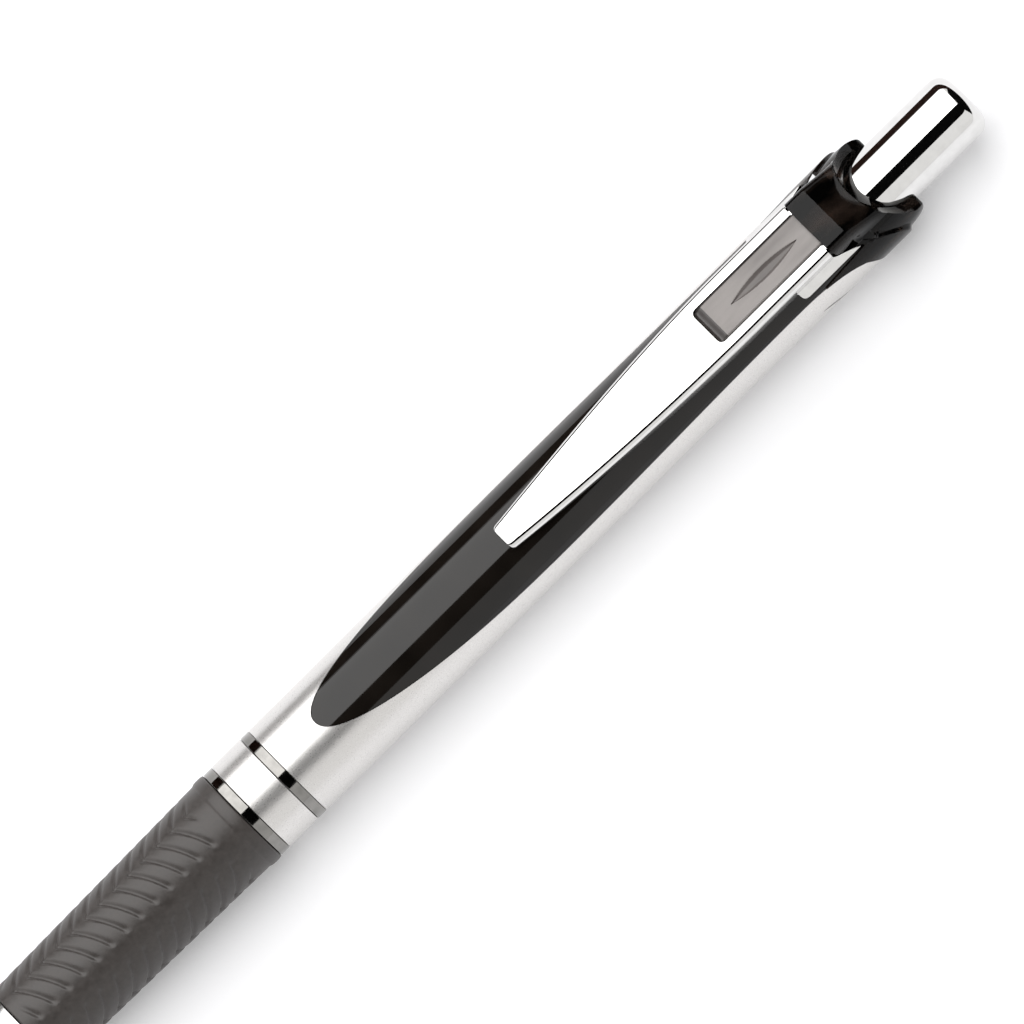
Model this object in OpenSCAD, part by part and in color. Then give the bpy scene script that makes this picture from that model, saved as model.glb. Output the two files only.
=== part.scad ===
// Retractable gel pen with a push button, a metal pocket clip and a rubber grip.
// Millimetres. The pen lies along X with the clip on top: the writing tip points to -X and the
// button to +X. The origin is under the middle of the pen, on the surface that it lies on.

/* [Lengths] */
// Length of the nose cone, from its opening to the grip
nose_l = 14; // [11.5:0.1:17]
// Length of the rubber grip
grip_l = 29.4; // [24:0.1:36]
// Width of each mirror ring beside the label band
ring_w = 1.15; // [0.9:0.05:1.5]
// Width of the label band between the two rings
band_w = 3.9; // [3:0.1:6]
// Length of the silver barrel shell
shell_l = 76.9; // [64:0.1:93]
// Height of the crown above the shell
crown_h = 5.6; // [4.6:0.1:7]
// How far the button stands out of the crown
button_out = 10.4; // [8.6:0.1:13]

/* [Refill] */
// Outside diameter of the ink tube
refill_d = 6.0; // [5:0.1:7.4]
// Wall of the ink tube
refill_wall = 0.35; // [0.25:0.05:0.5]
// Length of ink in the tube
ink_l = 62; // [30:1:65]
// Length of the grease follower behind the ink
follower_l = 3; // [2:0.1:5]
// Diameter of the writing ball
ball_d = 0.7; // [0.5:0.1:0.8]
// Outside diameter of the metal tip socket
socket_d = 2.3; // [2.2:0.05:2.6]

/* [Walls] */
// Radial room between the ink tube and the front barrel
refill_room = 0.3; // [0.2:0.05:0.6]
// Wall of the front barrel under the grip
front_wall = 0.7; // [0.65:0.05:1]
// Wall of the inner barrel
core_wall = 0.9; // [0.7:0.05:1.2]
// Wall of the silver shell
shell_wall = 0.62; // [0.4:0.02:0.8]
// Wall of the push button
cap_wall = 0.5; // [0.4:0.05:0.6]
// How far the grip bead and the crown stand out over the shell
bead_out = 0.13; // [0.05:0.01:0.3]

/* [Click mechanism] */
// Travel of the button from rest to fully pressed
stroke = 6.5; // [5.2:0.1:7]
// Wall of the cam guide
guide_wall = 0.4; // [0.3:0.05:0.5]
// Radial height of the guide lands
land_h = 0.7; // [0.55:0.05:0.8]
// Number of guide lands
land_count = 4; // [3:1:5]
// Height of the cam teeth
tooth_h = 1.0; // [0.8:0.05:1.2]
// Diameter of the return spring wire
wire_d = 0.4; // [0.3:0.02:0.5]
// Turns of the return spring
spring_turns = 10; // [7:1:12]

/* [Clip] */
// Length of the clip in front of the crown
clip_l = 42; // [35:0.1:50]
// Widest width of the clip, at its root
clip_w = 6.6; // [5.5:0.1:7.2]
// Width of the clip at its tip
clip_tip_w = 2.3; // [1.9:0.1:2.8]
// Height of the clip's top over the shell at its root
clip_rise = 1.08; // [1:0.02:1.4]
// Sheet thickness of the clip
clip_t = 0.4; // [0.3:0.02:0.5]
// Length of the clip's window
window_l = 13.1; // [11:0.1:15]
// Width of the clip's window
window_w = 4.4; // [3.6:0.1:4.6]
// Air between the clip and the barrel
clip_gap = 0.2; // [0.15:0.01:0.3]

/* [Hidden] */
// Fits
fit = 0.05;
slide_fit = 0.1;
$fn = 72;

// Radii, built outwards from the refill
refill_r = refill_d / 2;
front_bore_r = refill_r + refill_room;
front_r = front_bore_r + front_wall;
guide_bore_r = refill_r + slide_fit + 0.3;
core_bore_r = guide_bore_r + guide_wall + fit;
core_r = core_bore_r + core_wall;
barrel_r = core_r + fit + shell_wall;
bead_r = barrel_r + bead_out;
spigot_r = core_bore_r - 0.03;
front_spigot_bore_r = min(front_bore_r, spigot_r - 0.45);
land_r = guide_bore_r - land_h;
rotor_r = land_r - 0.3;
cap_r = core_bore_r - 0.21;
crown_bore_r = cap_r + slide_fit;
plunger_head_r = cap_r - cap_wall - 0.04;
spring_mean_r = refill_r - 1.1;
spring_out_r = spring_mean_r + wire_d / 2;
neck_r = spring_mean_r - wire_d / 2 - 0.2;
nose_front_r = 1.4;
nose_rear_r = front_r + 0.85;
thread_r = front_r - 0.6;
socket_r = socket_d / 2;
ball_r = ball_d / 2;
ring_bore_r = front_r + 0.03;
ink_r = refill_r - refill_wall - 0.03;
ink_channel_r = 0.6;
button_round_r = min(1.6, cap_r - 1);
tooth_w = 0.9;

// Stations along the pen, counted from the nose opening towards the button
s_grip = nose_l;
s_ring_1 = s_grip + grip_l;
s_band = s_ring_1 + ring_w;
s_ring_2 = s_band + band_w;
s_shell = s_ring_2 + ring_w;
s_shell_end = s_shell + shell_l;
s_core_end = s_shell_end + 0.5;
s_crown_end = s_shell_end + crown_h;
s_end = s_crown_end + button_out;
cap_l = button_out + crown_h - 1.1;
s_cap = s_end - cap_l;

// Stations of the click mechanism, counted back from the cap so that a full press has room
s_guide_end = s_cap - stroke - 0.3;
lip_t = 0.8;
s_lip = s_guide_end - lip_t;
key_l = 2.7;
s_key = s_lip - slide_fit - key_l;
s_plunger_tip = s_key - tooth_h;
s_rotor_tip = s_plunger_tip - slide_fit;
rotor_l = 4.5;
fin_l = 3.2;
s_rotor = s_rotor_tip - tooth_h - rotor_l;
s_land = s_rotor_tip + slide_fit - stroke + 1.8;
s_guide = s_rotor - 2.5;
s_refill_end = s_rotor - slide_fit;

// Stations of the tip
s_spring_seat = 5.5;
s_tip = 2.5;
s_socket_cone = s_tip + 2.7;
s_socket_end = 10;
thread_l = 5;
s_thread = nose_l - thread_l;
s_neck = s_socket_end - 0.4;
s_shoulder = s_grip + 10;
s_tube = s_shoulder + 4;
holder_plug_l = 6;
s_ink = s_tube + holder_plug_l + 0.1;
spigot_l = 8.4;

// Crown
shoulder_r = crown_bore_r + 0.9;
shoulder_h = 2.6;
bridge_l = 4.3;
s_bridge = s_shell_end - bridge_l;
bridge_w = clip_w + 0.6;
bridge_top = barrel_r + clip_rise + 0.32;
bridge_corner_r = 0.6;
notch_r = cap_r + 0.21;
notch_floor = 1.05;

// Clip: the tongue under the crown lies lower than the clip's top
clip_under_r = barrel_r + clip_gap;
clip_top = barrel_r + clip_rise;
clip_tip_drop = 0.35;
s_clip = s_bridge - clip_l;
s_clip_end = s_bridge - 0.15;
clip_web = 0.5;
tongue_l = 3.6;
tongue_w = clip_w - 1.2;
tongue_top = barrel_r + 0.72;
tongue_room = 0.2;
s_tongue_end = s_clip_end - clip_web + tongue_l;
tab_l = 5;
tab_t = 0.35;
tab_angle = 47;
tab_spread = 16;
tab_end = 0.3;
tab_turn = tab_angle - tab_spread / 2;
s_window = s_clip_end - clip_web - window_l;
window_corner_r = 0.6;
insert_gap = 0.06;
insert_lip = 0.3;
insert_top = clip_top + 0.02;

// Teardrop opening of the shell: its point, its widest place and its waist
s_drop = s_shell + 5.2;
s_drop_wide = s_shell_end - 42.5;
s_drop_waist = s_shell_end - 11.1;
drop_wide = barrel_r * 0.88;
drop_waist = barrel_r * 0.838;
drop_round = 2.4;
drop_blunt = 0.45;
flare_power = 2.6;
s_flare_end = s_shell_end - 0.6;

// Grip ribs
rib_pitch = 1.96;
rib_depth = 0.18;
rib_w = 0.3;
grip_front_r = nose_rear_r + 0.1;
grip_rear_r = barrel_r - 0.05;
bead_l = 1.5;
collar_l = 1.2;

// Places a piece drawn along its own +Z, with the clip side at +X, into the pen's frame
module lay() {
    translate([-s_end / 2, 0, bead_r])
        rotate([0, -90, 180])
            children();
}

// Tube or rod between two stations
module tube(from, to, outer, inner = 0) {
    translate([0, 0, from])
        difference() {
            cylinder(h = to - from, r = outer);
            if (inner > 0)
                translate([0, 0, -1])
                    cylinder(h = to - from + 2, r = inner);
        }
}

// Cylinder that cuts a bore between two stations
module bore(from, to, r) {
    translate([0, 0, from])
        cylinder(h = to - from, r = r);
}

// Sector of a tube, centred on the clip side
module sector(from, to, outer, inner, angle) {
    reach = outer / cos(angle / 2) + 1;
    steps = 6;
    intersection() {
        tube(from, to, outer, inner);
        translate([0, 0, from - 1])
            linear_extrude(to - from + 2)
                polygon(concat([[0, 0]], [
                    for (i = [0:steps])
                        let (a = -angle / 2 + angle * i / steps)
                            [reach * cos(a), reach * sin(a)]
                ]));
    }
}

// Ring of cam teeth. Up is 1 for teeth that point towards the button and -1 for the others.
module cam_teeth(base, outer, inner, count, up) {
    half_w = PI * outer / count;
    root = 0.3;
    intersection() {
        tube(base - 2 * tooth_h, base + 2 * tooth_h, outer, inner);
        for (i = [0:count - 1])
            rotate([0, 0, i * 360 / count])
                translate([0, 0, base])
                    rotate([90, 0, 90])
                        linear_extrude(outer + 1)
                            polygon([
                                [-half_w, -up * root], [half_w, -up * root],
                                [half_w, 0], [0, up * tooth_h], [-half_w, 0]
                            ]);
    }
}

// Round wire wound into a coil between two stations
module coil(from, to, mean_r, wire_r, turns, sides, steps) {
    rings = turns * steps;
    span = to - from - 2 * wire_r;
    points = [
        for (i = [0:rings], j = [0:sides - 1])
            let (
                a = 360 * i / steps,
                b = 360 * j / sides,
                r = mean_r + wire_r * cos(b),
                z = from + wire_r + span * i / rings + wire_r * sin(b)
            )
                [r * cos(a), r * sin(a), z]
    ];
    sides_faces = [
        for (i = [0:rings - 1], j = [0:sides - 1])
            let (
                k = (j + 1) % sides,
                p = i * sides + j,
                q = i * sides + k
            )
                [p, p + sides, q + sides, q]
    ];
    start_cap = [for (j = [0:sides - 1]) j];
    end_cap = [for (j = [sides - 1:-1:0]) rings * sides + j];
    polyhedron(points, concat([start_cap], sides_faces, [end_cap]), convexity = 10);
}

// Half-width of the shell's teardrop opening at a station
function drop_half(s) =
    s <= s_drop ? 0 :
    s < s_drop_wide ?
        drop_wide * pow(1 - pow((s_drop_wide - s) / (s_drop_wide - s_drop), drop_round), drop_blunt) :
    s < s_drop_waist ?
        drop_waist + (drop_wide - drop_waist)
            * (1 + cos(180 * (s - s_drop_wide) / (s_drop_waist - s_drop_wide))) / 2 :
    drop_waist + (barrel_r + 0.2 - drop_waist)
        * pow((s - s_drop_waist) / (s_flare_end - s_drop_waist), flare_power);

// Stations of the teardrop's outline, close together at its point
function drop_stations(start) =
    let (nose_steps = 14, wide_steps = 6, flare_steps = 8)
    concat(
        [for (i = [0:nose_steps - 1])
            start + (s_drop_wide - start) * pow(i / nose_steps, 2)],
        [for (i = [0:wide_steps - 1])
            s_drop_wide + (s_drop_waist - s_drop_wide) * i / wide_steps],
        [for (i = [0:flare_steps])
            s_drop_waist + (s_flare_end - s_drop_waist) * i / flare_steps]
    );

// Solid through the teardrop opening, as far inside its outline as inset says, up to an end
module drop_prism(inset, end) {
    start = s_drop + inset;
    stations = drop_stations(start);
    last = len(stations) - 1;
    side = [for (i = [1:last]) [stations[i], drop_half(stations[i]) - inset]];
    back = [for (i = [last - 1:-1:0]) [side[i][0], -side[i][1]]];
    reach = barrel_r + 1;
    rotate([0, -90, 0])
        mirror([0, 0, 1])
            linear_extrude(reach)
                polygon(concat(
                    [[start, 0]],
                    side,
                    [[end, reach], [end, -reach]],
                    back
                ));
}

// Cuts the half on the clip side beyond a station
module clip_side_block(from, to) {
    reach = barrel_r + 1;
    translate([0, -reach, from])
        cube([reach, 2 * reach, to - from]);
}

// Metal cone at the writing end. It screws onto the front barrel.
module nose_cone() {
    steps = 12;
    bulge = 0.8;
    lip = 0.15;
    color("silver")
        lay()
            difference() {
                rotate_extrude()
                    polygon(concat(
                        [[0, 0], [nose_front_r - lip, 0]],
                        [for (i = [0:steps])
                            let (t = i / steps)
                                [
                                    nose_front_r + (nose_rear_r - nose_front_r) * pow(t, bulge),
                                    lip + (nose_l - lip) * t
                                ]],
                        [[0, nose_l]]
                    ));
                bore(-1, 3 + fit, socket_r + slide_fit);
                bore(3, s_spring_seat, socket_r + 0.45);
                bore(s_spring_seat, s_thread + 1, spring_out_r + slide_fit);
                bore(s_thread, nose_l + 1, thread_r + 0.08);
            }
}

// Plastic tube under the grip, with the thread for the nose and the spigot for the barrel
module front_barrel() {
    crests = 4;
    crest_w = 0.5;
    crest_pitch = 1.05;
    color("dimgray")
        lay()
            difference() {
                union() {
                    bore(s_thread + fit, s_grip + 1, thread_r - 0.3);
                    for (i = [0:crests - 1])
                        bore(
                            s_thread + 0.4 + i * crest_pitch,
                            s_thread + 0.4 + i * crest_pitch + crest_w,
                            thread_r
                        );
                    bore(s_grip + fit, s_shell, front_r);
                    bore(s_shell - 1, s_shell + spigot_l, spigot_r);
                }
                bore(s_thread - 1, s_grip + 3, spring_out_r + 0.5);
                bore(s_grip + 2.5, s_ring_1, front_bore_r);
                bore(s_ring_1 - 1, s_shell + spigot_l + 1, front_spigot_bore_r);
            }
}

// Rubber sleeve with a bead at its rear and rows of shallow grooves
module grip() {
    s_bead = s_ring_1 - bead_l;
    s_collar = s_bead - collar_l;
    ribs = floor((s_collar - s_grip - 2) / rib_pitch);
    color("dimgray")
        lay()
            difference() {
                union() {
                    translate([0, 0, s_grip + fit])
                        cylinder(h = s_collar - s_grip, r1 = grip_front_r, r2 = grip_rear_r);
                    bore(s_collar, s_bead + 0.5, grip_rear_r);
                    rotate_extrude()
                        translate([bead_r - bead_l / 2, s_bead + bead_l / 2])
                            circle(r = bead_l / 2 - fit);
                    bore(s_bead, s_ring_1 - fit, barrel_r - 0.02);
                }
                bore(s_grip - 1, s_ring_1 + 1, front_r + 0.02);
                for (i = [0:ribs])
                    translate([0, 0, s_grip + 1.2 + i * rib_pitch])
                        difference() {
                            cylinder(h = rib_w, r = bead_r + 1);
                            translate([0, 0, -1])
                                cylinder(
                                    h = rib_w + 2,
                                    r = grip_front_r - rib_depth
                                        + (grip_rear_r - grip_front_r) * i / ribs
                                );
                        }
            }
}

// Mirror ring on the front barrel
module mirror_ring(from) {
    lay()
        tube(from, from + ring_w - fit, barrel_r, ring_bore_r);
}

module lower_ring() {
    color("lightgray")
        mirror_ring(s_ring_1);
}

// Satin band between the two rings
module label_band() {
    color("gainsboro")
        lay()
            tube(s_band, s_ring_2 - fit, barrel_r, ring_bore_r);
}

module upper_ring() {
    color("lightgray")
        mirror_ring(s_ring_2);
}

// Black inner barrel. Its raised panel fills the teardrop opening of the shell.
module barrel_core() {
    color([0.13, 0.12, 0.11])
        lay()
            difference() {
                union() {
                    bore(s_shell, s_core_end, core_r);
                    intersection() {
                        bore(s_shell, s_shell_end - fit, barrel_r);
                        union() {
                            drop_prism(fit, s_shell_end);
                            clip_side_block(s_flare_end, s_shell_end);
                        }
                    }
                }
                bore(s_shell - 1, s_core_end + 1, core_bore_r);
            }
}

// Silver shell with the teardrop opening on the clip side
module barrel_shell() {
    color("silver")
        lay()
            difference() {
                tube(s_shell, s_shell_end - fit, barrel_r, core_r + fit);
                drop_prism(0, s_shell_end + 1);
            }
}

// Outline of the crown's bridge across the pen, with round upper corners
module bridge_section() {
    half = bridge_w / 2;
    low = core_r;
    translate([low, -half])
        square([bridge_top - bridge_corner_r - low, bridge_w]);
    translate([low, -half + bridge_corner_r])
        square([bridge_top - low, bridge_w - 2 * bridge_corner_r]);
    for (side = [-1, 1])
        translate([bridge_top - bridge_corner_r, side * (half - bridge_corner_r)])
            circle(r = bridge_corner_r);
}

// Smoky crown round the button, notched on the clip side, with a bridge over the clip's root
module crown() {
    steps = 8;
    bridge_run = bridge_l + crown_h - 2.2;
    s_top = s_crown_end - shoulder_h;
    color([0.16, 0.13, 0.12])
        lay()
            difference() {
                union() {
                    rotate_extrude()
                        polygon(concat(
                            [[0, s_shell_end], [bead_r, s_shell_end]],
                            [for (i = [0:steps])
                                let (a = 90 * i / steps)
                                    [
                                        shoulder_r + (bead_r - shoulder_r) * cos(a),
                                        s_top + shoulder_h * sin(a)
                                    ]],
                            [[0, s_crown_end]]
                        ));
                    intersection() {
                        translate([0, 0, s_bridge])
                            linear_extrude(bridge_run)
                                bridge_section();
                        rotate([90, 0, 0])
                            translate([0, 0, -bridge_w])
                                linear_extrude(2 * bridge_w)
                                    polygon([
                                        [0, s_bridge], [bridge_top - 0.15, s_bridge],
                                        [bridge_top, s_bridge + 0.4],
                                        [bridge_top, s_shell_end - 1.8],
                                        [barrel_r - 0.6, s_bridge + bridge_run],
                                        [0, s_bridge + bridge_run]
                                    ]);
                    }
                }
                bore(s_bridge - 1, s_shell_end, barrel_r + fit);
                bore(s_shell_end - 1, s_core_end + fit, core_r + fit);
                bore(s_core_end, s_end, crown_bore_r);
                translate([0, 0, s_shell_end + notch_floor + notch_r])
                    rotate([0, 90, 0])
                        cylinder(h = 2 * bead_r, r = notch_r);
                translate([
                    barrel_r - 1, -tongue_w / 2 - tongue_room, s_bridge - 1
                ])
                    cube([
                        tongue_top - barrel_r + 1 + tongue_room, tongue_w + 2 * tongue_room,
                        s_tongue_end - s_bridge + 1 + tongue_room
                    ]);
            }
}

// Half-width of the clip at a distance from its tip, as a share of its length
function clip_half(t) =
    let (grow = 1 - pow(1 - min(t / 0.76, 1), 1.7))
        (clip_tip_w + (clip_w - clip_tip_w) * grow) / 2;

// Plan of the clip, drawn with its length along the first axis
module clip_plan(inset) {
    steps = 12;
    length = s_clip_end - s_clip;
    side = [
        for (i = [0:steps])
            let (t = i / steps)
                [s_clip + inset + (length - inset) * t, clip_half(t) - inset]
    ];
    back = [for (i = [steps:-1:0]) [side[i][0], -side[i][1]]];
    polygon(concat(side, back));
}

// Raises an outline, drawn along the pen, from one height over the axis to another
module raise(low, high) {
    rotate([0, -90, 0])
        mirror([0, 0, 1])
            translate([0, 0, low])
                linear_extrude(high - low)
                    children();
}

// Rounded rectangle drawn along the pen
module window_outline(from, length, width, corner) {
    translate([from + corner, -width / 2])
        square([length - 2 * corner, width]);
    translate([from, -width / 2 + corner])
        square([length, width - 2 * corner]);
    for (x = [corner, length - corner], side = [-1, 1])
        translate([from + x, side * (width / 2 - corner)])
            circle(r = corner);
}

// Side view of the clip under its top face, which drops a little towards the tip
module clip_height(drop) {
    rotate([90, 0, 0])
        translate([0, 0, -clip_w])
            linear_extrude(2 * clip_w)
                polygon([
                    [0, s_clip - 1], [clip_top - clip_tip_drop - drop, s_clip - 1],
                    [clip_top - drop, s_window - 3], [clip_top - drop, s_tongue_end + 1],
                    [0, s_tongue_end + 1]
                ]);
}

// Pressed metal pocket clip: a channel with a window, two side tabs and a root tongue
module clip() {
    s_web = s_clip_end - clip_web;
    color("lightgray")
        lay()
            difference() {
                union() {
                    difference() {
                        intersection() {
                            raise(0, bead_r + 3)
                                clip_plan(0);
                            clip_height(0);
                        }
                        intersection() {
                            raise(0, bead_r + 3.5)
                                clip_plan(clip_t);
                            clip_height(clip_t);
                            bore(0, s_web + clip_t / 3, 2 * barrel_r);
                        }
                        raise(-1, bead_r + 4)
                            window_outline(s_window, window_l, window_w, window_corner_r);
                    }
                    translate([tongue_top - clip_t, -tongue_w / 2, s_web + clip_t * 2 / 3])
                        cube([clip_t, tongue_w, s_tongue_end - s_web - clip_t * 2 / 3]);
                    for (side = [-1, 1])
                        rotate([0, 0, side * tab_turn])
                            sector(
                                s_clip_end - tab_end - tab_l, s_clip_end - tab_end,
                                clip_under_r + tab_t, clip_under_r - 1, tab_spread
                            );
                }
                bore(s_clip - 1, s_end, clip_under_r);
            }
}

// Smoky insert in the clip's window, held by a lip under the sheet
module clip_insert() {
    lip_low = clip_under_r + 0.1;
    lip_high = clip_top - clip_t - 0.02;
    bevel_l = 1.1;
    bevel_low = clip_top - 0.32;
    groove_r = 26;
    groove_depth = 0.12;
    groove_half = 0.6;
    groove_at = 0.56;
    length = window_l - 2 * insert_gap;
    width = window_w - 2 * insert_gap;
    color([0.6, 0.57, 0.55])
        lay()
            difference() {
                union() {
                    raise(lip_low, insert_top)
                        window_outline(
                            s_window + insert_gap, length, width, window_corner_r - insert_gap
                        );
                    raise(lip_low, lip_high)
                        window_outline(
                            s_window - insert_lip, length + insert_lip, width + 2 * insert_lip,
                            window_corner_r
                        );
                }
                rotate([90, 0, 0])
                    translate([0, 0, -clip_w])
                        linear_extrude(2 * clip_w)
                            polygon([
                                [clip_top + 1, s_window + insert_gap - 1],
                                [bevel_low, s_window + insert_gap - 1],
                                [bevel_low, s_window + insert_gap],
                                [insert_top, s_window + insert_gap + bevel_l],
                                [clip_top + 1, s_window + insert_gap + bevel_l]
                            ]);
                translate([insert_top - groove_depth, 0, 0])
                    rotate([0, -90, 0])
                        mirror([0, 0, 1])
                            linear_extrude(1)
                                intersection_for(side = [-1, 1])
                                    translate([
                                        s_window + window_l * groove_at, side * (groove_r - groove_half)
                                    ])
                                        circle(r = groove_r);
            }
}

// Chrome push button
module button_cap() {
    steps = 8;
    round_r = button_round_r;
    dome = 0.15;
    top_t = 0.6;
    color("lightgray")
        lay()
            difference() {
                rotate_extrude()
                    polygon(concat(
                        [[0, s_cap], [cap_r, s_cap]],
                        [for (i = [0:steps])
                            let (a = 90 * i / steps)
                                [
                                    cap_r - round_r + round_r * cos(a),
                                    s_end - dome - round_r + round_r * sin(a)
                                ]],
                        [[cap_r - round_r - 0.5, s_end], [0, s_end]]
                    ));
                bore(s_cap - 1, s_end - top_t - round_r, cap_r - cap_wall);
                translate([0, 0, s_end - top_t - 0.01 - round_r])
                    cylinder(
                        h = round_r,
                        r1 = cap_r - cap_wall,
                        r2 = cap_r - cap_wall - 0.8 * round_r
                    );
            }
}

// Plunger that the button sits on, with the upper row of cam teeth and its guide keys
module plunger() {
    stem_r = land_r - slide_fit;
    tooth_count = 2 * land_count;
    key_angle = 180 / land_count - 6;
    color("white")
        lay()
            difference() {
                union() {
                    bore(s_key, s_cap + 0.2, stem_r);
                    bore(s_cap, s_end - 0.7 - button_round_r, plunger_head_r);
                    cam_teeth(s_key, rotor_r, rotor_r - tooth_w, tooth_count, -1);
                    for (i = [0:land_count - 1])
                        rotate([0, 0, i * 360 / land_count])
                            sector(
                                s_key, s_key + key_l, guide_bore_r - slide_fit, stem_r - 0.3,
                                key_angle
                            );
                }
                bore(s_key - 1, s_key + key_l, rotor_r - tooth_w);
            }
}

// Guide fixed in the inner barrel: lands with open slots between them, and a stop lip
module cam_guide() {
    slot_out = 0.02;
    color("whitesmoke")
        lay()
            difference() {
                bore(s_guide, s_guide_end, core_bore_r - fit);
                bore(s_guide - 1, s_guide_end + 1, land_r);
                bore(s_guide - 2, s_land, guide_bore_r);
                for (i = [0:land_count - 1])
                    rotate([0, 0, i * 360 / land_count])
                        sector(
                            s_land - 0.5, s_lip, guide_bore_r + slot_out, land_r - 1,
                            180 / land_count
                        );
            }
}

// Rotor between the plunger and the refill, with its teeth and the fins that latch
module rotor() {
    tooth_count = 2 * land_count;
    fin_angle = 20;
    s_valley = s_rotor_tip - tooth_h;
    color("gold")
        lay()
            difference() {
                union() {
                    bore(s_rotor, s_valley, rotor_r);
                    cam_teeth(s_valley, rotor_r, rotor_r - tooth_w, tooth_count, 1);
                    for (i = [0:land_count - 1])
                        rotate([0, 0, i * 360 / land_count - fin_angle / 2])
                            sector(
                                s_rotor_tip - fin_l, s_valley, guide_bore_r - slide_fit,
                                rotor_r - 0.3, fin_angle
                            );
                }
                bore(s_rotor + 1.5, s_rotor_tip + 1, rotor_r - tooth_w);
            }
}

// Coil spring between the nose and the refill's shoulder
module return_spring() {
    color("gray")
        lay()
            coil(
                s_spring_seat + fit, s_shoulder - fit, spring_mean_r, wire_d / 2, spring_turns, 6, 14
            );
}

// Plastic ink tube
module refill_tube() {
    color([0.85, 0.87, 0.88])
        lay()
            tube(s_tube, s_refill_end, refill_r, refill_r - refill_wall);
}

// Gel ink in the tube and in the bore of the tip holder
module ink_column() {
    color([0.05, 0.05, 0.08])
        lay()
            union() {
                bore(s_ink, s_ink + ink_l, ink_r);
                bore(s_socket_end, s_ink + 0.1, ink_channel_r);
            }
}

// Clear grease that follows the ink
module grease_follower() {
    color([0.85, 0.8, 0.6])
        lay()
            bore(s_ink + ink_l + fit, s_ink + ink_l + follower_l, ink_r);
}

// Vented plug in the tail of the ink tube
module tail_plug() {
    plug_l = 3;
    vent_r = 0.5;
    color("black")
        lay()
            tube(s_refill_end - plug_l, s_refill_end, ink_r, vent_r);
}

// Plastic holder between the ink tube and the metal tip, with the shoulder for the spring
module tip_holder() {
    channel_r = ink_channel_r + 0.1;
    color([0.2, 0.2, 0.22])
        lay()
            difference() {
                union() {
                    bore(s_neck, s_shoulder + 1, neck_r);
                    bore(s_shoulder, s_tube, spring_out_r + 0.35);
                    bore(s_tube - 1.5, s_tube - fit, refill_r);
                    bore(s_tube - 1, s_tube + holder_plug_l, ink_r);
                }
                bore(s_neck - 1, s_ink, channel_r);
                bore(s_neck - 1, s_socket_end + 2, socket_r - 0.25);
            }
}

// Metal tip socket that holds the ball
module tip_socket() {
    cup_r = ball_r + 0.03;
    mouth_r = ball_r * 0.86;
    s_ball = s_tip + ball_r * 0.4;
    color("silver")
        lay()
            difference() {
                union() {
                    translate([0, 0, s_tip + ball_r * 0.1])
                        cylinder(h = s_socket_cone - s_tip, r1 = ball_r + 0.12, r2 = socket_r);
                    bore(s_socket_cone, s_neck - fit, socket_r);
                    bore(s_neck - 1, s_socket_end + 1.9, socket_r - 0.28);
                }
                bore(s_tip - 1, s_ball + 0.1, mouth_r);
                bore(s_ball - 0.2, s_ball + ball_r + 0.1, cup_r);
                bore(s_ball, s_socket_cone + 1, 0.22);
                bore(s_socket_cone - 0.4, s_socket_end + 3, ink_channel_r + fit);
            }
}

// Writing ball
module ball() {
    color("gray")
        lay()
            translate([0, 0, s_tip + ball_r * 0.9])
                sphere(r = ball_r, $fn = 32);
}

// Fine spring that presses on the ball through the socket
module ball_spring() {
    coil_r = 0.4;
    turns = 9;
    fine_wire_r = 0.06;
    color("gray")
        lay()
            coil(s_socket_cone - 0.3, s_socket_end - 0.3, coil_r, fine_wire_r, turns, 5, 10);
}

nose_cone();
front_barrel();
grip();
lower_ring();
label_band();
upper_ring();
barrel_core();
barrel_shell();
crown();
clip();
clip_insert();
button_cap();
plunger();
cam_guide();
rotor();
return_spring();
refill_tube();
ink_column();
grease_follower();
tail_plug();
tip_holder();
tip_socket();
ball();
ball_spring();
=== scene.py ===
"""Looks of a retractable gel pen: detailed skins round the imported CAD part, in metres."""
import math

import bmesh
import bpy
from mathutils import Matrix, Vector

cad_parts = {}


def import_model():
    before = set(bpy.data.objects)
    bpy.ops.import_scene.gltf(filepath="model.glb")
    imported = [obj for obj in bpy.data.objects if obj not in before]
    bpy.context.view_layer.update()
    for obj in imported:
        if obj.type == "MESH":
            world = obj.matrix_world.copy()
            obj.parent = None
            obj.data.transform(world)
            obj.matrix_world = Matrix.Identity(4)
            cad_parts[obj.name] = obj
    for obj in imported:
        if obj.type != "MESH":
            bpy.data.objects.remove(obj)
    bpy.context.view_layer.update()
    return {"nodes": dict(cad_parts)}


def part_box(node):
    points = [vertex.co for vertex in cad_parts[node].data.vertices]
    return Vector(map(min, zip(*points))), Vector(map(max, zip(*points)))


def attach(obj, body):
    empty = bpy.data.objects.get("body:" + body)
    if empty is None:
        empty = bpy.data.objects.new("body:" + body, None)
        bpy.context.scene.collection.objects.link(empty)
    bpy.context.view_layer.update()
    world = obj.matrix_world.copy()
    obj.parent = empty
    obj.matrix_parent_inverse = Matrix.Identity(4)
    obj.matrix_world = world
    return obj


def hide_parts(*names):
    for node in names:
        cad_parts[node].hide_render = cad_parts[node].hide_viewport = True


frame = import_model()

MM = 0.001


# ---------------------------------------------------------------- sizes, read from the frame

def low(node):
    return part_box(node)[0]


def high(node):
    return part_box(node)[1]


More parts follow.
